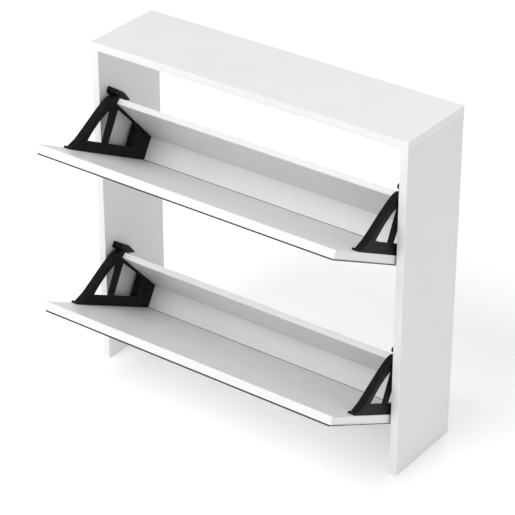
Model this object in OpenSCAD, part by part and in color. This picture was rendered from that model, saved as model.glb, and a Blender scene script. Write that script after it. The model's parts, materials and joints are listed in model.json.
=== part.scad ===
// Slim shoe cabinet with two tilting flaps, each a door with a trough for shoes behind it.
// The flaps are drawn open, at rest on their stop pegs.
// Origin: on the floor, under the middle of the room that the open cabinet takes up.
// +X right, +Y to the back, +Z up.

/* [Carcass] */
// Overall width of the cabinet
cabinet_w = 700; // [600:10:900]
// Overall depth of the cabinet
cabinet_d = 180; // [178:1:220]
// Overall height of the cabinet
cabinet_h = 690; // [670:5:720]
// Thickness of the carcass and door boards
board = 16; // [15:0.5:18]
// Height of each rear cross rail
rail_h = 105; // [60:5:110]

/* [Doors] */
// Angle that a flap opens from closed
open_angle = 62.5; // [50:0.5:65]
// Gap above, between and below the doors' edges
door_gap = 2.5; // [2:0.5:4]
// Gap under the lower door
floor_gap = 5; // [5:1:12]
// Gap between a door's end and the side panel
end_gap = 4; // [3:0.5:6]
// Height of the pivot above the door's lower edge
pivot_up = 109.5; // [105:0.5:112]
// Thickness of the mirror glued to the door's front
mirror_t = 3; // [2:0.5:4]
// Margin of door left round the mirror
mirror_margin = 3.5; // [2:0.5:10]

/* [Troughs] */
// Thickness of the trough's bottom and back boards
trough_t = 12; // [10:1:14]
// Clear depth at the trough's bottom
trough_depth = 47.5; // [40:0.5:48]
// Length of the back board's inner face
back_l = 148; // [140:1:150]
// Angle that the back board leans away from the door
back_lean = 20.4; // [18:0.2:21]
// Angle that the bottom board falls away from the door
bottom_fall = 3; // [1:0.5:4]

/* [Fittings] */
// Width of a bracket's flanges
bracket_w = 15; // [12:1:18]
// Distance from the door's end to the bracket
bracket_inset = 1; // [0.5:0.5:3]
// Thickness of a bracket's web
web_t = 3.5; // [3:0.5:5]
// Thickness of a bracket's flanges
flange_t = 3; // [2.5:0.5:4]
// Radius of a pivot pin
pin_r = 4; // [3:0.5:4]
// Radial running clearance of a pin in its bush
pin_clear = 0.05; // [0.02:0.01:0.1]
// Radius of a stop peg's head
peg_r = 5.5; // [4:0.5:5.5]
// Length of a stop peg's head
peg_l = 20; // [16:1:22]

/* [Hidden] */
LEVELS = ["upper", "lower"];
SIDES = ["left", "right"];

$fn = 48;
white = "#f1f2f3";
black = "#17181a";
steel = "#b8bbbe";
zinc = "#8f9396";
beech = "#d9b98b";
silver = "#cfd8dc";
nylon = "#2a2b2d";

inner_x = cabinet_w / 2 - board;
side_h = cabinet_h - board;
door_w = 2 * (inner_x - end_gap);
door_h = (side_h - floor_gap - 2 * door_gap) / 2;
half_door = board / 2;
pivot_in = mirror_t + half_door;
overhang = -turned([-half_door, door_h - pivot_up], open_angle)[0] - pivot_in;
back_y = (cabinet_d + overhang) / 2;
front_y = back_y - cabinet_d;
pivot_y = front_y + pivot_in;
seam_z = trough_t - pivot_up;
fit = 0.02;
eps = 0.01;

// Height of a level's pivot above the floor.
function pivot_z(level) = floor_gap + pivot_up + (level == "upper" ? door_h + door_gap : 0);

// A point of a flap: s up along the door's inner face from the bottom board, n back from it.
// The result is [y, z] from the pivot, with the flap closed.
function flap(s, n) = [half_door + n, seam_z + s];

// A point of the back board: u up along its inner face, v out through its thickness.
function behind(u, v) = flap(
    -trough_depth * tan(bottom_fall) + u * cos(back_lean) - v * sin(back_lean),
    trough_depth + u * sin(back_lean) + v * cos(back_lean));

// A point turned about the pivot by an angle.
function turned(p, a) = [p[0] * cos(a) - p[1] * sin(a), p[0] * sin(a) + p[1] * cos(a)];

function lerp(a, b, t) = a + (b - a) * t;
function unit(v) = v / norm(v);

// A cubic curve through four control points.
function cubic(p, t) = pow(1 - t, 3) * p[0] + 3 * pow(1 - t, 2) * t * p[1]
    + 3 * (1 - t) * t * t * p[2] + pow(t, 3) * p[3];

// An outline with each corner rounded by a short curve that starts a distance r away from it.
function rounded(pts, r, steps = 4) = [
    for (i = [0:len(pts) - 1])
        let (a = pts[(i + len(pts) - 1) % len(pts)], b = pts[i], c = pts[(i + 1) % len(pts)],
             p = b + r * unit(a - b), q = b + r * unit(c - b))
            for (k = [0:steps])
                let (t = k / steps) lerp(lerp(p, b, t), lerp(b, q, t), t)
];

// Extrudes a [y, z] outline along X.
module along_x(x0, x1) {
    translate([x0, 0, 0]) rotate([90, 0, 90]) linear_extrude(x1 - x0) children();
}

// A rod or bore along X.
module rod_x(r, x0, x1) {
    translate([x0, 0, 0]) rotate([0, 90, 0]) cylinder(r = r, h = x1 - x0);
}

module box(from, to) {
    translate(from) cube(to - from);
}

// Puts a flap's pieces in the cabinet, open.
module in_flap(level) {
    translate([0, pivot_y, pivot_z(level)]) rotate([open_angle, 0, 0]) children();
}

// Turns +Z to point along a flap's own direction, given as [y, z], at a point [y, z].
module aimed(x, p, dir) {
    translate([x, p[0], p[1]]) rotate([-atan2(dir[0], dir[1]), 0, 0]) children();
}

// ---- Fixings: where each one sits ----
dowel_r = 4;
dowel_l = 30;
dowel_blind = 10;
cam_r = 7.5;
cam_t = 12.5;
cam_reach = 34;
cam_slack = 0.4;
bolt_r = 3;
bolt_grip = 11;
dowel_edge = 16;
cam_edge = 42;
top_dowel_y = [front_y + 2 * board, back_y - dowel_edge];
top_cam_y = [front_y + cam_edge + 2 * board, back_y - cam_edge];
rail_setback = 6;
rail_y = back_y - rail_setback - board;
rail_mid_y = rail_y + board / 2;
upper_rail_z = 350;
lower_rail_z = 15;
rails = [upper_rail_z, lower_rail_z];
rail_dowel_edge = 18;
rail_dowel_z = [rail_dowel_edge, rail_h - rail_dowel_edge];
rail_cam_z = rail_h / 2;

// Top panel dowels stand on Z, rail dowels lie on X.
module dowel(clear = 0) {
    translate([0, 0, -clear]) cylinder(r = dowel_r + clear, h = dowel_l + 2 * clear);
}

module at_top_dowels() {
    for (m = [-1, 1])
        for (y = top_dowel_y)
            translate([m * (inner_x + board / 2), y, side_h + dowel_blind - dowel_l]) children();
}

module at_rail_dowels() {
    for (m = [-1, 1])
        for (z0 = rails)
            for (z = rail_dowel_z)
                translate([m * (inner_x + dowel_blind), rail_mid_y, z0 + z])
                    rotate([0, -90 * m, 0]) children();
}

// A cam fitting: the bolt points along +Z out of the joint face at z = 0, the lock lies below it.
module at_cams() {
    for (m = [-1, 1]) {
        for (y = top_cam_y)
            translate([m * (inner_x + board / 2), y, side_h]) rotate([0, 0, 90 - 90 * m]) children();
        for (z0 = rails)
            translate([m * inner_x, rail_mid_y, z0 + rail_cam_z])
                rotate([0, 90 * m, 0]) rotate([0, 0, -90]) mirror([0, m < 0 ? 1 : 0, 0]) children();
    }
}

module cam_bore() {
    neck_clear = 1;
    translate([-board / 2 - eps, 0, -cam_reach])
        rotate([0, 90, 0]) cylinder(r = cam_r, h = cam_t + eps + fit);
    translate([0, 0, -cam_reach]) cylinder(r = bolt_r + neck_clear, h = cam_reach + eps);
}

module cam_bolt_bore() {
    translate([0, 0, -eps]) cylinder(r = bolt_r, h = bolt_grip + eps);
}

// ---- Carcass ----
module side_panel_fixings() {
    at_top_dowels() dowel(fit);
    at_rail_dowels() dowel(fit);
    at_cams() cam_bore();
    at_cams() cam_bolt_bore();
}

module top_panel() {
    color(white) difference() {
        box([-cabinet_w / 2, front_y, side_h], [cabinet_w / 2, back_y, cabinet_h]);
        at_top_dowels() dowel(fit);
        at_cams() cam_bolt_bore();
        at_wall_screws() screw_bore(wall_screw_l, screw_r);
    }
}

bush_r = 6;
bush_l = 10;
bush_flange_r = 9;
bush_flange_t = 1.5;
peg_shank_r = 3;
peg_shank_l = 10;
stop_gap = 0.2;
stop_plate_t = 3;
hook_s = 137.6;
peg_n = 120.5;
peg_s = hook_s + peg_r + stop_gap;
peg_yz = turned(flap(peg_s, peg_n), open_angle);

module side_panel(m) {
    color(white) difference() {
        box([m < 0 ? -cabinet_w / 2 : inner_x, front_y, 0],
            [m < 0 ? -inner_x : cabinet_w / 2, back_y, side_h]);
        side_panel_fixings();
        for (level = LEVELS)
            translate([m * inner_x, pivot_y, pivot_z(level)]) {
                rod_x(bush_r, m < 0 ? -bush_l : -eps, m < 0 ? eps : bush_l);
                translate([0, peg_yz[0], peg_yz[1]])
                    rod_x(peg_shank_r, m < 0 ? -peg_shank_l : -eps, m < 0 ? eps : peg_shank_l);
            }
    }
}

module left_side_panel() side_panel(-1);
module right_side_panel() side_panel(1);

module rear_rail(z0) {
    color(white) difference() {
        box([-inner_x, rail_y, z0], [inner_x, rail_y + board, z0 + rail_h]);
        at_rail_dowels() dowel(fit);
        at_cams() cam_bore();
    }
}

module upper_rear_rail() rear_rail(upper_rail_z);
module lower_rear_rail() rear_rail(lower_rail_z);

module carcass_dowels() {
    color(beech) {
        at_top_dowels() dowel();
        at_rail_dowels() dowel();
    }
}

// A round lock with a cross slot in its face and a bore for the bolt's head and neck.
module cam_locks() {
    slot_l = 9;
    slot_w = 1.4;
    slot_d = 2;
    hub_r = 2.2;
    hub_d = 3;
    color(zinc) at_cams() translate([-board / 2, 0, -cam_reach]) rotate([0, 90, 0]) difference() {
        cylinder(r = cam_r - fit, h = cam_t);
        translate([0, 0, -eps]) cylinder(r = hub_r, h = hub_d);
        for (a = [45, 135])
            rotate([0, 0, a]) translate([-slot_l / 2, -slot_w / 2, -eps]) cube([slot_l, slot_w, slot_d]);
        for (x = [-1, 1])
            translate([x, 0, board / 2]) rotate([0, -90, 0]) cylinder(r = bolt_r + cam_slack, h = cam_r * 2);
    }
}

// A bolt with a threaded end above the joint face, then a shank, a neck and a head in the lock.
module cam_bolts() {
    neck_r = 1.9;
    neck_l = 4;
    head_l = 2;
    shank_from = head_l + neck_l - cam_reach;
    color(steel) at_cams() {
        cylinder(r = bolt_r - fit, h = bolt_grip - 0.5);
        translate([0, 0, shank_from]) cylinder(r = bolt_r - cam_slack, h = eps - shank_from);
        translate([0, 0, head_l - cam_reach]) cylinder(r = neck_r, h = neck_l + eps);
        translate([0, 0, -cam_reach]) cylinder(r = bolt_r, h = head_l + eps);
    }
}

// ---- Screws ----
screw_r = 1.75;
seat_clear = 0.2;
head_r = 3.6;
head_t = 2.4;
tip_l = 4;

// A countersunk screw whose head is flush with z = 0 and whose point is at z = -l.
module screw(l) {
    recess_l = 4;
    recess_w = 0.8;
    recess_d = 1.4;
    difference() {
        union() {
            translate([0, 0, -head_t]) cylinder(r1 = screw_r, r2 = head_r, h = head_t);
            translate([0, 0, tip_l - l]) cylinder(r = screw_r - fit, h = l - tip_l - head_t + eps);
            translate([0, 0, -l]) cylinder(r1 = 0.3, r2 = screw_r - fit, h = tip_l + eps);
        }
        for (a = [0, 90])
            rotate([0, 0, a]) translate([-recess_l / 2, -recess_w / 2, -recess_d])
                cube([recess_l, recess_w, recess_d + eps]);
    }
}

module screw_bore(l, r) {
    translate([0, 0, -l - fit]) cylinder(r = r, h = l + 2 * eps);
}

module screw_seat(l) {
    screw_bore(l, screw_r + seat_clear);
    translate([0, 0, -head_t])
        cylinder(r1 = screw_r + seat_clear, r2 = head_r + seat_clear / 2, h = head_t + eps);
}

// ---- Wall brackets under the back of the top panel ----
wall_bracket_x = 250;
wall_bracket_w = 18;
wall_bracket_leg = 34;
wall_bracket_t = 2;
wall_hole_r = 2.5;
wall_screw_l = 14;
wall_hole_in = 22;
wall_hole_z = side_h - wall_hole_in;

module at_wall_screws() {
    for (m = [-1, 1])
        translate([m * wall_bracket_x, back_y - wall_hole_in, side_h - wall_bracket_t])
            rotate([180, 0, 0]) children();
}

module wall_brackets() {
    color(steel) difference() {
        for (m = [-1, 1])
            translate([m * wall_bracket_x - wall_bracket_w / 2, 0, 0]) {
                box([0, back_y - wall_bracket_leg, side_h - wall_bracket_t],
                    [wall_bracket_w, back_y, side_h]);
                box([0, back_y - wall_bracket_t, side_h - wall_bracket_leg],
                    [wall_bracket_w, back_y, side_h]);
            }
        for (m = [-1, 1])
            translate([m * wall_bracket_x, back_y + eps, wall_hole_z])
                rotate([90, 0, 0]) cylinder(r = wall_hole_r, h = wall_bracket_t + 2 * eps);
        at_wall_screws() screw_seat(wall_screw_l);
    }
}

module wall_bracket_screws() {
    color(steel) at_wall_screws() screw(wall_screw_l);
}

// ---- Pivots and stops ----
module bush(level, m) {
    x = m * inner_x;
    color(nylon) translate([x, pivot_y, pivot_z(level)]) difference() {
        union() {
            rod_x(bush_r - fit, m < 0 ? fit - bush_l : 0, m < 0 ? 0 : bush_l - fit);
            rod_x(bush_flange_r, m < 0 ? 0 : -bush_flange_t, m < 0 ? bush_flange_t : 0);
        }
        rod_x(pin_r + pin_clear, -bush_l - 1, bush_l + 1);
    }
}

// A stop: a flat plate on the side panel, with a peg in front that the bracket's hook rests on
// and a thin shank behind, pressed into the panel. Its tail runs down behind the back board.
module stop_peg(level, m) {
    peg_tip = 1;
    tail = rounded([flap(peg_s + 9, peg_n - 6), flap(peg_s + 8, peg_n + 7), flap(100, 121),
                    flap(72, 108), flap(112, 104)], 4);
    color(black) {
        in_flap(level) along_x(m < 0 ? -inner_x : inner_x - stop_plate_t,
                               m < 0 ? stop_plate_t - inner_x : inner_x) polygon(tail);
        translate([m * inner_x, pivot_y + peg_yz[0], pivot_z(level) + peg_yz[1]]) {
            rod_x(peg_shank_r - fit, m < 0 ? 1 - peg_shank_l : -eps, m < 0 ? eps : peg_shank_l - 1);
            rod_x(peg_r, m < 0 ? 0 : peg_tip - peg_l, m < 0 ? peg_l - peg_tip : 0);
            translate([m < 0 ? peg_l - peg_tip : -peg_l, 0, 0]) rotate([0, 90, 0])
                cylinder(r1 = m < 0 ? peg_r : peg_r - peg_tip, r2 = m < 0 ? peg_r - peg_tip : peg_r,
                         h = peg_tip);
        }
    }
}

// ---- Flap boards ----
pin_in_door = 22;
pin_in_bush = 9;
trough_w = door_w - 4;
bottom_l = (trough_depth + trough_t / cos(back_lean - bottom_fall)) / cos(bottom_fall);
bottom_dir = [cos(bottom_fall), -sin(bottom_fall)];
trough_dowel_r = 3;
trough_dowel_l = 25;
trough_dowel_in = 10;
trough_dowel_x = [-240, -80, 80, 240];
trough_screw_x = [-280, -95, 95, 280];
trough_screw_l = 35;
bracket_screw_l = 14;
door_screw_s = [14, 108, 190];
back_screw_u = [15, 44];
trough_screw_sunk = 0.6;
bracket_starts = [bracket_inset - door_w / 2, door_w / 2 - bracket_inset - bracket_w];

// Trough screws go up through the bottom board into the back board's lower edge.
module at_trough_screws() {
    up = unit(behind(back_l, 0) - behind(0, 0));
    under = behind(0, trough_t / 2)
        - (trough_t - trough_screw_sunk) / cos(back_lean - bottom_fall) * up;
    for (x = trough_screw_x)
        aimed(x, under, -up) children();
}

module at_trough_dowels() {
    mid = flap(-trough_t / 2, -trough_dowel_in);
    for (x = trough_dowel_x)
        aimed(x, mid, bottom_dir) children();
}

// Bracket screws stand on the bracket's base and rear flanges, beside its web.
module at_bracket_screws() {
    for (start = bracket_starts) {
        x = start + (bracket_w - web_t) / 2;
        for (s = door_screw_s)
            aimed(x, flap(s, flange_t), [1, 0]) children();
        for (u = back_screw_u)
            aimed(x, behind(u, -rear_flange_t), behind(0, -1) - behind(0, 0)) children();
    }
}

module door(level) {
    color(white) in_flap(level) difference() {
        box([-door_w / 2, -half_door, -pivot_up], [door_w / 2, half_door, door_h - pivot_up]);
        rod_x(pin_r, -door_w / 2 - 1, pin_in_door - door_w / 2);
        rod_x(pin_r, door_w / 2 - pin_in_door, door_w / 2 + 1);
        at_trough_dowels() translate([0, 0, -fit])
            cylinder(r = trough_dowel_r, h = trough_dowel_in + trough_dowel_r);
        at_bracket_screws() screw_bore(bracket_screw_l, screw_r);
    }
}

module door_mirror(level) {
    edge = mirror_margin;
    color(silver) in_flap(level)
        box([edge - door_w / 2, -half_door - mirror_t, edge - pivot_up],
            [door_w / 2 - edge, -half_door, door_h - pivot_up - edge]);
}

module bottom_board(level) {
    root = flap(0, 0);
    far = root + bottom_l * bottom_dir;
    down = trough_t * [-sin(bottom_fall), -cos(bottom_fall)];
    color(white) in_flap(level) difference() {
        along_x(-trough_w / 2, trough_w / 2)
            polygon([root, far, far + down, flap(-trough_t / cos(bottom_fall), 0)]);
        at_trough_dowels() cylinder(r = trough_dowel_r, h = trough_dowel_l + fit);
        at_trough_screws() screw_seat(trough_screw_l);
    }
}

module back_board(level) {
    foot = trough_t * tan(back_lean - bottom_fall);
    color(white) in_flap(level) difference() {
        along_x(-trough_w / 2, trough_w / 2)
            polygon([behind(0, 0), behind(back_l, 0), behind(back_l, trough_t), behind(foot, trough_t)]);
        at_trough_screws() screw_bore(trough_screw_l, screw_r);
        at_bracket_screws() screw_bore(bracket_screw_l, screw_r);
    }
}

module pivot_pins(level) {
    color(steel) in_flap(level) {
        rod_x(pin_r - fit / 2, -inner_x - pin_in_bush, pin_in_door - fit - door_w / 2);
        rod_x(pin_r - fit / 2, door_w / 2 - pin_in_door + fit, inner_x + pin_in_bush);
    }
}

module trough_dowels(level) {
    color(beech) in_flap(level) at_trough_dowels() cylinder(r = trough_dowel_r - fit, h = trough_dowel_l);
}

module trough_screws(level) {
    color(steel) in_flap(level) at_trough_screws() screw(trough_screw_l);
}

module bracket_screws(level) {
    color(steel) in_flap(level) at_bracket_screws() screw(bracket_screw_l);
}

// ---- Bracket: a moulded plate whose edges carry flanges, with an arch and a hook at its head ----
// The same moulding serves both ends, so its plate is on the right-hand side at each of them.
rear_flange_t = 4.5;
rear_flange_u = 58;
base_h = 21;
lip_s = 241;
lip_t = 4;
arch_foot_s = 231;
hook_n = 122.5;
hook_base_n = 110.8;
clip_in = 14;
clip_t = 4;
rib_s = 51;
rib_u = 57;
bead_s = 26.5;
bead_w = 2.4;
bead_h = 1;
arch = [flap(hook_s, hook_base_n), flap(165, 120), flap(207, 17), flap(arch_foot_s, lip_t)];
arch_steps = 16;
arch_line = [for (k = [0:arch_steps]) cubic(arch, k / arch_steps)];
arch_dirs = [
    for (k = [0:arch_steps])
        unit(arch_line[min(k + 1, arch_steps)] - arch_line[max(k - 1, 0)])
];
arch_under = [for (k = [0:arch_steps]) arch_line[k] - flange_t * [arch_dirs[k][1], -arch_dirs[k][0]]];
arch_down = [for (k = [arch_steps:-1:0]) arch_line[k]];

// The whole side outline, bounded by the door, the trough boards and the arch.
module bracket_outline() {
    polygon(concat([flap(0, 0), flap(lip_s, 0), flap(lip_s, lip_t)], arch_down,
                   [behind(back_l, 0), behind(0, 0)]));
}

// The hook, over the top of the back board, and the clip that holds the board from behind.
module bracket_head() {
    polygon([
        behind(back_l, -rear_flange_t), behind(back_l, trough_t), behind(back_l - clip_in, trough_t),
        behind(back_l - clip_in, trough_t + clip_t), behind(back_l - 1, trough_t + clip_t),
        flap(129.5, hook_n - 2), flap(131.5, hook_n), flap(hook_s - 1, hook_n), flap(hook_s, hook_n - 1),
        for (k = [0:3]) arch_line[k]
    ]);
}

module bracket_windows() {
    slope = [for (k = [0:6]) cubic([flap(149, 87), flap(168, 74), flap(184, 47), flap(195, base_h)], k / 6)];
    polygon(concat(slope, [flap(146.5, base_h)]));
    polygon(rounded([flap(128.5, base_h), flap(127, 89), flap(64, 67), flap(rib_s, 56),
                     flap(rib_s, base_h)], 1.5));
}

module one_bracket() {
    plate_x = bracket_w - web_t;
    along_x(plate_x, bracket_w) difference() {
        bracket_outline();
        bracket_windows();
    }
    along_x(0, bracket_w) {
        polygon([flap(0, 0), flap(lip_s, 0), flap(lip_s, lip_t), flap(arch_foot_s, lip_t),
                 arch_line[arch_steps - 3], flap(205, flange_t), flap(0, flange_t)]);
        polygon(concat(arch_down, arch_under));
        polygon([behind(0, 0), behind(rear_flange_u, 0), behind(rear_flange_u, -rear_flange_t),
                 behind(0, -rear_flange_t)]);
        polygon([flap(0, 0), flap(flange_t, 0), flap(flange_t, trough_depth - rear_flange_t), behind(0, 0)]);
        polygon([flap(rib_s - flange_t, 0), flap(rib_s, 0), behind(rib_u, 0), behind(rib_u - flange_t, 0)]);
        bracket_head();
    }
    along_x(bracket_w - eps, bracket_w + bead_h)
        polygon([flap(bead_s, base_h), flap(bead_s + bead_w, base_h), flap(bead_s + bead_w, 55),
                 flap(bead_s, 54)]);
}

module bracket(level, start) {
    color(black) in_flap(level) difference() {
        translate([start, 0, 0]) one_bracket();
        at_bracket_screws() screw_seat(bracket_screw_l);
    }
}

// ---- What is drawn ----
top_panel();
left_side_panel();
right_side_panel();
upper_rear_rail();
lower_rear_rail();
carcass_dowels();
cam_locks();
cam_bolts();
wall_brackets();
wall_bracket_screws();
bush("upper", -1);  // upper_left_bush
bush("upper", 1);  // upper_right_bush
bush("lower", -1);  // lower_left_bush
bush("lower", 1);  // lower_right_bush
stop_peg("upper", -1);  // upper_left_stop_peg
stop_peg("upper", 1);  // upper_right_stop_peg
stop_peg("lower", -1);  // lower_left_stop_peg
stop_peg("lower", 1);  // lower_right_stop_peg
door("upper");  // upper_door
door_mirror("upper");  // upper_mirror
bottom_board("upper");  // upper_bottom_board
back_board("upper");  // upper_back_board
bracket("upper", bracket_starts[0]);  // upper_left_bracket
bracket("upper", bracket_starts[1]);  // upper_right_bracket
pivot_pins("upper");  // upper_pivot_pins
bracket_screws("upper");  // upper_bracket_screws
trough_dowels("upper");  // upper_trough_dowels
trough_screws("upper");  // upper_trough_screws
door("lower");  // lower_door
door_mirror("lower");  // lower_mirror
bottom_board("lower");  // lower_bottom_board
back_board("lower");  // lower_back_board
bracket("lower", bracket_starts[0]);  // lower_left_bracket
bracket("lower", bracket_starts[1]);  // lower_right_bracket
pivot_pins("lower");  // lower_pivot_pins
bracket_screws("lower");  // lower_bracket_screws
trough_dowels("lower");  // lower_trough_dowels
trough_screws("lower");  // lower_trough_screws
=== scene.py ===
"""Slim white shoe cabinet with two tilting mirror flaps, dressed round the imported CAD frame."""
import json
import math

import bmesh
import bpy
from mathutils import Matrix, Vector


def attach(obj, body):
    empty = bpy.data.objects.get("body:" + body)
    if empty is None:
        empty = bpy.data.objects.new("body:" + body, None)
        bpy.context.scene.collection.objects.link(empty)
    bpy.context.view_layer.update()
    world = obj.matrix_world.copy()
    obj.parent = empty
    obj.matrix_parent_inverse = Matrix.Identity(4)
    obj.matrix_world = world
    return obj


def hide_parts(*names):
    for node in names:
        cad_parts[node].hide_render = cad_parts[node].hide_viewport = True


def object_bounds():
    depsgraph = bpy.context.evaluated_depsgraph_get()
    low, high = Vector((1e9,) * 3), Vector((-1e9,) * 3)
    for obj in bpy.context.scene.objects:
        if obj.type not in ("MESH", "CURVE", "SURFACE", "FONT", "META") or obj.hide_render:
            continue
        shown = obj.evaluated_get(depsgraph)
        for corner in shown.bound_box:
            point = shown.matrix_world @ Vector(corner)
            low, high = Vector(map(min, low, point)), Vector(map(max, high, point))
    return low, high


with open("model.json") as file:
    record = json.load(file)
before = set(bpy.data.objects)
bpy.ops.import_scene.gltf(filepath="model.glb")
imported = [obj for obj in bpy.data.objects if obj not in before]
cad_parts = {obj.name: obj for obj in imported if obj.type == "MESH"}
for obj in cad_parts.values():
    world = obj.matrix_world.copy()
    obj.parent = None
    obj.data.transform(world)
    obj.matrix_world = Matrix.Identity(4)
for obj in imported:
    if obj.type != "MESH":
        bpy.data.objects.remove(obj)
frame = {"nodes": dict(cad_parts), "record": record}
cad_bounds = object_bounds()

NODES = frame["nodes"]
RECORD = frame["record"]
SLOT_OF = {part["node"]: part["material_slot"] for part in RECORD["subparts"]}
BODY_OF = {node: body for body, nodes in RECORD["behaviour"]["bodies"].items() for node in nodes}
MM = 0.001

# ---- Sizes that only the looks need ----
# Points closer than this are one point.
WELD = 0.01 * MM
# Strip along a board's outline that shows the edge band.
BAND = 1.4 * MM
# Radii of rounded edges.
BOARD_EDGE = 0.7 * MM
TROUGH_EDGE = 1.2 * MM
MIRROR_EDGE = 0.5 * MM
PLASTIC_EDGE = 0.7 * MM
NYLON_EDGE = 0.35 * MM
# Edges of boards that are shorter than this are steps of a bore's rim, and stay sharp.
BORE_STEP = 1.1 * MM
# Faces that turn by more than this meet at a sharp edge, and by less than the second are one face.
SHARP = math.radians(32)
SAME_PLANE = math.radians(0.3)
# Largest part of a normal along one axis that still counts as slanted, and smallest that is flat.
SLANTED = 0.99
FLAT = 0.999
# A point nearer to a cut than this lies on it, in metres.
ON_CUT = 1e-7
# The board that each trough board butts against.
JOINED_TO = {"bottom_board": "door", "back_board": "bottom_board"}


# ---- Materials ----
class Surface:
    """A node material with its Principled shader, and short helpers that add nodes to it."""

    def __init__(self, name, color, roughness, metallic=0.0):
        self.material = bpy.data.materials.new(name)
        self.material.use_nodes = True
        self.tree = self.material.node_tree
        self.shader = self.tree.nodes["Principled BSDF"]
        self.shader.inputs["Base Color"].default_value = (*color, 1)
        self.shader.inputs["Roughness"].default_value = roughness
        self.shader.inputs["Metallic"].default_value = metallic
        self.coords = self.tree.nodes.new("ShaderNodeTexCoord").outputs["Object"]

    def set(self, **values):
        for key, value in values.items():
            self.shader.inputs[key.replace("_", " ")].default_value = value
        return self

    def link(self, output, target):
        self.tree.links.new(output, target)

    def stretched(self, scale):
        mapping = self.tree.nodes.new("ShaderNodeMapping")
        mapping.inputs["Scale"].default_value = scale
        self.link(self.coords, mapping.inputs["Vector"])
        return mapping.outputs["Vector"]

    def noise(self, size, detail=2.0, stretch=None, roughness=0.5):
        """Noise whose blotches are about size metres across."""
        node = self.tree.nodes.new("ShaderNodeTexNoise")
        node.inputs["Scale"].default_value = 1 / size
        node.inputs["Detail"].default_value = detail
        node.inputs["Roughness"].default_value = roughness
        self.link(self.stretched(stretch) if stretch else self.coords, node.inputs["Vector"])
        return node.outputs["Fac"]

    def ramp(self, factor, stops):
        node = self.tree.nodes.new("ShaderNodeValToRGB")
        ramp = node.color_ramp
        while len(ramp.elements) < len(stops):
            ramp.elements.new(0.5)
        for element, (position, color) in zip(ramp.elements, stops):
            element.position = position
            element.color = (*color, 1)
        self.link(factor, node.inputs["Fac"])
        return node.outputs["Color"]

    def span(self, factor, low, high, start=0.3, end=0.7):
        node = self.tree.nodes.new("ShaderNodeMapRange")
        node.inputs["From Min"].default_value = start
        node.inputs["From Max"].default_value = end
        node.inputs["To Min"].default_value = low
        node.inputs["To Max"].default_value = high
        self.link(factor, node.inputs["Value"])
        return node.outputs["Result"]

    def colored(self, factor, *stops):
        self.link(self.ramp(factor, stops), self.shader.inputs["Base Color"])
        return self

    def roughened(self, factor, low, high):
        self.link(self.span(factor, low, high), self.shader.inputs["Roughness"])
        return self

    def bumped(self, *layers):
        """Each layer is (height, strength, distance in metres); they add up."""
        normal = None
        for height, strength, distance in layers:
            node = self.tree.nodes.new("ShaderNodeBump")
            node.inputs["Strength"].default_value = strength
            node.inputs["Distance"].default_value = distance
            self.link(height, node.inputs["Height"])
            if normal:
                self.link(normal, node.inputs["Normal"])
            normal = node.outputs["Normal"]
        self.link(normal, self.shader.inputs["Normal"])
        return self


def melamine():
    """White melamine face: a faint pearl grain, and cloudy gloss where it has been wiped."""
    s = Surface("melamine_white", (0.86, 0.865, 0.87), 0.4).set(Coat_Weight=0.12, Coat_Roughness=0.3)
    cloud = s.noise(90 * MM, 3)
    grain = s.noise(1.3 * MM, 3, roughness=0.7)
    s.colored(cloud, (0.3, (0.845, 0.85, 0.857)), (0.7, (0.87, 0.875, 0.88)))
    s.roughened(s.noise(35 * MM, 4), 0.36, 0.47)
    return s.bumped((grain, 0.12, 0.12 * MM), (s.noise(9 * MM, 2), 0.05, 0.15 * MM)).material


def edge_band():
    """White ABS edge band: a shade brighter than the faces, with fine lines along the long sides."""
    s = Surface("edge_band_white", (0.9, 0.905, 0.91), 0.32).set(Coat_Weight=0.2, Coat_Roughness=0.25)
    lines = s.noise(0.9 * MM, 2, stretch=(0.03, 1, 1))
    s.colored(s.noise(60 * MM), (0.3, (0.885, 0.89, 0.895)), (0.7, (0.91, 0.915, 0.92)))
    s.roughened(s.noise(20 * MM, 3), 0.28, 0.38)
    return s.bumped((lines, 0.1, 0.1 * MM)).material


def moulded_black():
    """Glass-filled black plastic: fine spark-eroded grain, flow marks and rubbed patches."""
    s = Surface("moulded_black", (0.008, 0.0082, 0.0088), 0.5).set(Specular_IOR_Level=0.1)
    grain = s.noise(0.5 * MM, 4, roughness=0.75)
    flow = s.noise(14 * MM, 3, stretch=(1, 1, 0.35))
    s.colored(flow, (0.3, (0.006, 0.0062, 0.0067)), (0.7, (0.0095, 0.0098, 0.0106)))
    s.roughened(s.noise(6 * MM, 4), 0.42, 0.56)
    return s.bumped((grain, 0.25, 0.12 * MM), (flow, 0.08, 0.3 * MM)).material


def turned_nylon():
    """Black nylon of the bushes and stop pegs: smoother than the brackets."""
    s = Surface("black_nylon", (0.006, 0.006, 0.007), 0.36).set(Specular_IOR_Level=0.12)
    rings = s.noise(0.8 * MM, 2, stretch=(1, 0.1, 0.1))
    s.colored(s.noise(5 * MM), (0.3, (0.005, 0.005, 0.006)), (0.7, (0.008, 0.008, 0.009)))
    s.roughened(s.noise(3 * MM), 0.3, 0.42)
    return s.bumped((rings, 0.12, 0.1 * MM)).material


def mirror_face():
    """Silvered glass, seen from the front: nearly perfect, with a breath of haze."""
    s = Surface("mirror_face", (0.88, 0.9, 0.9), 0.03, 1.0).set(Coat_Weight=0.4, Coat_Roughness=0.02)
    s.roughened(s.noise(70 * MM, 4), 0.02, 0.05)
    return s.colored(s.noise(160 * MM), (0.3, (0.87, 0.89, 0.89)), (0.7, (0.9, 0.915, 0.91))).material


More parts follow.
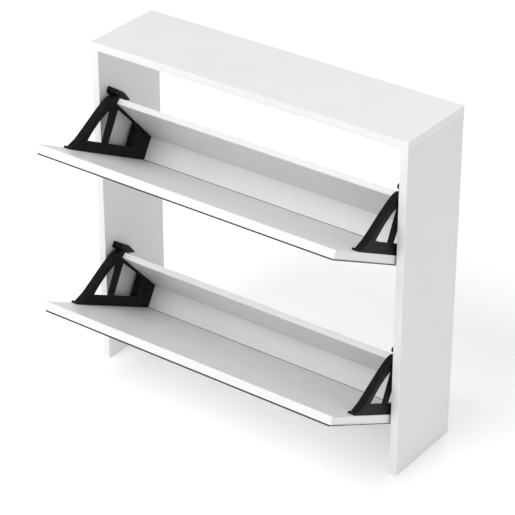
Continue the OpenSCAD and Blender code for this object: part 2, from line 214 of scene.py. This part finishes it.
def mirror_rim():
    """The ground edge of the glass: dark green-grey, with the grinder's fine scratches."""
    s = Surface("mirror_rim", (0.012, 0.02, 0.018), 0.3).set(Coat_Weight=0.5, Coat_Roughness=0.1)
    scratches = s.noise(0.6 * MM, 2, stretch=(0.05, 1, 1))
    s.colored(scratches, (0.3, (0.008, 0.014, 0.013)), (0.7, (0.02, 0.03, 0.027)))
    return s.bumped((scratches, 0.15, 0.08 * MM)).material


def mirror_back():
    """Grey protective paint on the back of the glass."""
    s = Surface("mirror_back", (0.2, 0.21, 0.22), 0.6)
    s.colored(s.noise(12 * MM, 3), (0.3, (0.18, 0.19, 0.2)), (0.7, (0.23, 0.24, 0.25)))
    return s.bumped((s.noise(1.5 * MM), 0.1, 0.1 * MM)).material


def zinc_plate():
    """Bright zinc plating on screws, pins, bolts and wall brackets."""
    s = Surface("zinc_plate", (0.6, 0.61, 0.63), 0.3, 1.0)
    haze = s.noise(2.5 * MM, 3)
    s.colored(haze, (0.3, (0.52, 0.54, 0.57)), (0.7, (0.68, 0.69, 0.7)))
    s.roughened(haze, 0.24, 0.4)
    return s.bumped((s.noise(0.4 * MM, 2, stretch=(1, 1, 0.2)), 0.08, 0.05 * MM)).material


def die_cast():
    """Dull die-cast zinc of the cam locks."""
    s = Surface("die_cast", (0.42, 0.43, 0.44), 0.5, 0.9)
    cast = s.noise(0.7 * MM, 4, roughness=0.7)
    s.colored(s.noise(3 * MM), (0.3, (0.36, 0.37, 0.38)), (0.7, (0.48, 0.49, 0.5)))
    s.roughened(cast, 0.42, 0.6)
    return s.bumped((cast, 0.3, 0.1 * MM)).material


def beech():
    """Bare beech dowel: pale straight grain with darker flecks."""
    s = Surface("beech", (0.7, 0.5, 0.31), 0.6)
    grain = s.noise(1.2 * MM, 4, stretch=(1, 1, 0.08))
    s.colored(grain, (0.25, (0.56, 0.37, 0.21)), (0.5, (0.7, 0.5, 0.31)), (0.75, (0.78, 0.6, 0.4)))
    return s.bumped((grain, 0.3, 0.15 * MM)).material


def painted_groove_shade():
    """Painted shade for the groove where two boards meet: a flat grey that stands in for the shade in the
    groove, mottled at random.
    """
    s = Surface("painted_groove_shade", (0.2, 0.2, 0.205), 0.7)
    shade_mottle = s.noise(4 * MM, 3, stretch=(0.2, 1, 1))
    # Painted shade: the groove is coloured mid grey, far darker than the boards, in place of the shade
    # that falls in it.
    s.colored(shade_mottle, (0.3, (0.16, 0.16, 0.165)), (0.7, (0.26, 0.26, 0.265)))
    return s.bumped((shade_mottle, 0.1, 0.1 * MM)).material


# The third board material is painted shade for the grooves where trough boards butt.
FACE, EDGE, GROOVE_SHADE = melamine(), edge_band(), painted_groove_shade()
GLASS = (mirror_face(), mirror_rim(), mirror_back())
FINISH = {
    "black_plastic": moulded_black(),
    "black_nylon": turned_nylon(),
    "steel": zinc_plate(),
    "zinc": die_cast(),
    "dowel_wood": beech(),
}


# ---- Making pieces from the frame ----
def cad_mesh(node):
    """A welded copy of a node's mesh with flat areas joined into single faces."""
    bm = bmesh.new()
    bm.from_mesh(NODES[node].data)
    bmesh.ops.remove_doubles(bm, verts=bm.verts, dist=WELD)
    bmesh.ops.dissolve_limit(bm, angle_limit=SAME_PLANE, verts=bm.verts, edges=bm.edges)
    bm.normal_update()
    return bm


def flat_frame(bm):
    """A frame for a board: origin at its middle, local Z along its thickness, local X along its length."""
    largest = max(bm.faces, key=lambda f: f.calc_area())
    z = largest.normal.normalized()
    x = Vector((0, 0, 1)) if abs(z.x) > 0.9 else Vector((1, 0, 0))
    y = z.cross(x)
    turn = Matrix((x, y, z)).transposed().to_4x4()
    corners = [turn.inverted() @ v.co for v in bm.verts]
    middle = Vector([(min(c[i] for c in corners) + max(c[i] for c in corners)) / 2 for i in range(3)])
    return turn @ Matrix.Translation(middle)


def half_size(bm):
    """Half the size of a mesh that is centred on its origin."""
    return Vector([max(abs(v.co[i]) for v in bm.verts) for i in range(3)])


def soften(bm, radius, segments=3, shortest=0.0):
    """Rounds every sharp edge longer than the shortest; with none set, narrow places limit the radius."""
    edges = [e for e in bm.edges
             if e.is_manifold and e.calc_face_angle(0) > SHARP and e.calc_length() > shortest]
    bmesh.ops.bevel(bm, geom=edges, offset=radius, segments=segments, profile=0.5,
                    affect="EDGES", clamp_overlap=shortest == 0, loop_slide=True)
    bm.normal_update()


def place(bm, name, matrix, materials, node):
    """Turns a mesh into a piece that stands for a CAD node and rides on the node's body."""
    mesh = bpy.data.meshes.new(name)
    bm.to_mesh(mesh)
    bm.free()
    for material in materials:
        mesh.materials.append(material)
    for polygon in mesh.polygons:
        polygon.use_smooth = True
    mesh.set_sharp_from_angle(angle=SHARP)
    piece = bpy.data.objects.new(name, mesh)
    piece.matrix_world = matrix
    bpy.context.scene.collection.objects.link(piece)
    weighted = piece.modifiers.new("even_shading", "WEIGHTED_NORMAL")
    weighted.keep_sharp = True
    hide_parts(node)
    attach(piece, BODY_OF[node])
    return piece


def make_board(node):
    """A melamine board: two faces, an edge band, and on a trough board painted shade in the groove where
    it butts.
    """
    bm = cad_mesh(node)
    matrix = flat_frame(bm)
    bm.transform(matrix.inverted())
    half = half_size(bm)
    for axis in (0, 1):
        for sign in (-1, 1):
            normal = Vector([float(axis == i) for i in range(3)])
            bmesh.ops.bisect_plane(bm, geom=[*bm.verts, *bm.edges, *bm.faces], dist=ON_CUT,
                                   plane_co=normal * sign * (half[axis] - BAND), plane_no=normal)
    bm.normal_update()
    level, _, kind = node.partition("_")
    neighbour = JOINED_TO.get(kind)
    soften(bm, TROUGH_EDGE if neighbour else BOARD_EDGE, shortest=BORE_STEP)
    for face in bm.faces:
        middle = face.calc_center_median()
        inside = all(abs(middle[i]) < half[i] - BAND for i in (0, 1))
        face.material_index = 0 if inside else 1
        slanted = max(abs(c) for c in face.normal) < SLANTED
        # Rounded faces next to the neighbouring board get painted shade: the grey groove material.
        if neighbour and slanted and gap_to(f"{level}_{neighbour}", matrix @ middle) < TROUGH_EDGE:
            face.material_index = 2
    return place(bm, f"{node}_piece", matrix, (FACE, EDGE, GROOVE_SHADE), node)


def gap_to(node, point):
    """How far a point is from the surface of a CAD node."""
    return (NODES[node].closest_point_on_mesh(point)[1] - point).length


def make_mirror(node):
    """A glass plate with ground, rounded arrises: mirror in front, rim round it, paint behind."""
    bm = cad_mesh(node)
    matrix = flat_frame(bm)
    bm.transform(matrix.inverted())
    half = half_size(bm)
    front = (matrix.inverted().to_3x3() @ Vector((0, -1, 0))).z > 0
    soften(bm, MIRROR_EDGE)
    for face in bm.faces:
        flat = abs(face.normal.z) > FLAT and abs(abs(face.calc_center_median().z) - half.z) < WELD
        face.material_index = 1 if not flat else 0 if (face.normal.z > 0) == front else 2
    return place(bm, f"{node}_piece", matrix, GLASS, node)


def make_moulding(node, radius, segments=2):
    """A moulded plastic piece with rounded edges."""
    bm = cad_mesh(node)
    soften(bm, radius, segments)
    return place(bm, f"{node}_piece", Matrix.Identity(4), (FINISH[SLOT_OF[node]],), node)


for cad_node in sorted(NODES):
    slot = SLOT_OF[cad_node]
    if slot == "white_board":
        make_board(cad_node)
    elif slot == "mirror":
        make_mirror(cad_node)
    elif slot == "black_plastic":
        make_moulding(cad_node, PLASTIC_EDGE)
    elif slot == "black_nylon":
        make_moulding(cad_node, NYLON_EDGE)
    else:
        NODES[cad_node].data.materials.clear()
        NODES[cad_node].data.materials.append(FINISH[slot])


# ---- Stage, light and camera ----
def make_floor():
    """A wide white floor with a faint glow, so that it reads as a blank backdrop."""
    s = Surface("studio_floor", (0.97, 0.97, 0.97), 0.8)
    s.set(Specular_IOR_Level=0.1, Emission_Color=(1, 1, 1, 1), Emission_Strength=0.22)
    s.colored(s.noise(1.5, 2), (0.3, (0.965, 0.965, 0.965)), (0.7, (0.975, 0.975, 0.975)))
    bm = bmesh.new()
    bmesh.ops.create_grid(bm, x_segments=1, y_segments=1, size=FLOOR_HALF)
    mesh = bpy.data.meshes.new("floor")
    bm.to_mesh(mesh)
    bm.free()
    mesh.materials.append(s.material)
    floor = bpy.data.objects.new("floor", mesh)
    bpy.context.scene.collection.objects.link(floor)


def make_light(name, azimuth, elevation, distance, size, power):
    """A large soft panel that faces the middle of the cabinet."""
    lamp = bpy.data.lights.new(name, "AREA")
    lamp.shape = "DISK"
    lamp.size = size
    lamp.energy = power
    light = bpy.data.objects.new(name, lamp)
    bpy.context.scene.collection.objects.link(light)
    away = direction(azimuth, elevation)
    light.location = CENTRE + away * distance
    light.rotation_mode = "QUATERNION"
    light.rotation_quaternion = away.to_track_quat("Z", "Y")


def direction(azimuth, elevation):
    """From the object towards a place round it: azimuth 0 is in front, 90 is on its right."""
    a, e = math.radians(azimuth), math.radians(elevation)
    return Vector((math.sin(a) * math.cos(e), -math.cos(a) * math.cos(e), math.sin(e)))


def make_world(light, seen):
    """Even white surroundings, with the brightness of their light and of the backdrop set apart."""
    world = bpy.data.worlds.new("studio")
    world.use_nodes = True
    bpy.context.scene.world = world
    nodes, links = world.node_tree.nodes, world.node_tree.links
    lit = nodes["Background"]
    lit.inputs["Color"].default_value = (1, 1, 1, 1)
    lit.inputs["Strength"].default_value = light
    shown = nodes.new("ShaderNodeBackground")
    shown.inputs["Strength"].default_value = seen
    shown.inputs["Color"].default_value = (1, 1, 1, 1)
    rays = nodes.new("ShaderNodeLightPath")
    mix = nodes.new("ShaderNodeMixShader")
    links.new(rays.outputs["Is Camera Ray"], mix.inputs["Fac"])
    links.new(lit.outputs["Background"], mix.inputs[1])
    links.new(shown.outputs["Background"], mix.inputs[2])
    links.new(mix.outputs["Shader"], nodes["World Output"].inputs["Surface"])


def make_camera(azimuth, elevation, distance, lens, aim):
    """An ordinary camera without roll or lens shift, that looks at the aim."""
    data = bpy.data.cameras.new("camera")
    data.lens = lens
    data.clip_start, data.clip_end = 0.1, 100
    camera = bpy.data.objects.new("camera", data)
    bpy.context.scene.collection.objects.link(camera)
    back = direction(azimuth, elevation)
    camera.location = aim + back * distance
    camera.rotation_mode = "QUATERNION"
    camera.rotation_quaternion = back.to_track_quat("Z", "Y")
    bpy.context.scene.camera = camera


FLOOR_HALF = 25.0
CENTRE = (cad_bounds[0] + cad_bounds[1]) / 2
make_floor()
make_world(light=0.5, seen=1.0)
make_light("key", azimuth=-12, elevation=50, distance=5.5, size=3.2, power=128)
make_light("fill", azimuth=-60, elevation=20, distance=5.5, size=3.0, power=25)
make_light("top", azimuth=0, elevation=85, distance=5.0, size=4.0, power=18)
make_light("back", azimuth=190, elevation=35, distance=5.5, size=3.6, power=40)
make_camera(azimuth=36.27, elevation=29.99, distance=4.088, lens=155.7,
            aim=CENTRE + Vector((0.0363, 0.0006, 0.0166)))
bpy.context.scene.view_settings.view_transform = "Standard"
